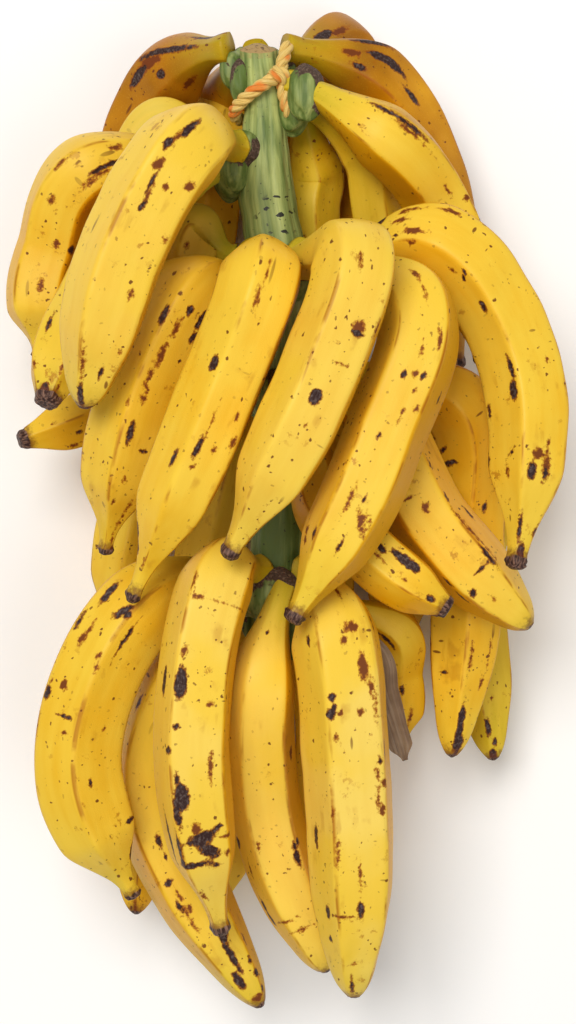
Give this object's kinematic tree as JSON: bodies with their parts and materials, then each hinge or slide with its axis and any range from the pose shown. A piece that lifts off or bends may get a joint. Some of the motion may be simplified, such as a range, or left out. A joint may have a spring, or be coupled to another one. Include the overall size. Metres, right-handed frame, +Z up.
{
  "type": "plantain bunch",
  "caption": "Bunch of ripe plantains: curved, ridged fingers on short necks hang in hands from one cut green stalk, with a rope tied round its top.",
  "frame": {"origin": "centre of the underside of the bounding box, in the plane that the bunch rests on", "axes": "+Z up out of the side that faces the viewer, +Y along the stalk towards its cut end, +X to the viewer's right"},
  "size_m": [0.367, 0.677, 0.2625],
  "materials": {
    "plantain_skin": "satin",
    "green_stalk": "matte",
    "dried_leaf": "matte",
    "rope": "matte"
  },
  "bodies": {
    "root": {"stalk": "green_stalk", "upper_left_finger_1": "plantain_skin", "upper_left_finger_2": "plantain_skin", "upper_left_finger_3": "plantain_skin", "upper_left_finger_4": "plantain_skin", "upper_right_finger_1": "plantain_skin", "upper_right_finger_2": "plantain_skin", "upper_right_finger_3": "plantain_skin", "upper_back_finger_1": "plantain_skin", "upper_back_finger_2": "plantain_skin", "upper_back_finger_3": "plantain_skin", "upper_back_finger_4": "plantain_skin", "upper_back_finger_5": "plantain_skin", "middle_front_finger_1": "plantain_skin", "middle_front_finger_2": "plantain_skin", "middle_front_finger_3": "plantain_skin", "middle_front_finger_4": "plantain_skin", "middle_front_finger_5": "plantain_skin", "middle_front_finger_6": "plantain_skin", "middle_back_finger_1": "plantain_skin", "middle_back_finger_2": "plantain_skin", "middle_back_finger_3": "plantain_skin", "middle_back_finger_4": "plantain_skin", "middle_back_finger_5": "plantain_skin", "middle_back_finger_6": "plantain_skin", "middle_back_finger_7": "plantain_skin", "middle_back_finger_8": "plantain_skin", "middle_back_finger_9": "plantain_skin", "lower_front_finger_1": "plantain_skin", "lower_front_finger_2": "plantain_skin", "lower_front_finger_3": "plantain_skin", "lower_front_finger_4": "plantain_skin", "lower_front_finger_5": "plantain_skin", "lower_back_finger_1": "plantain_skin", "lower_back_finger_2": "plantain_skin", "lower_back_finger_3": "plantain_skin", "lower_back_finger_4": "plantain_skin", "lower_back_finger_5": "plantain_skin", "dried_bract": "dried_leaf", "tie": "rope"}
  },
  "joints": []
}
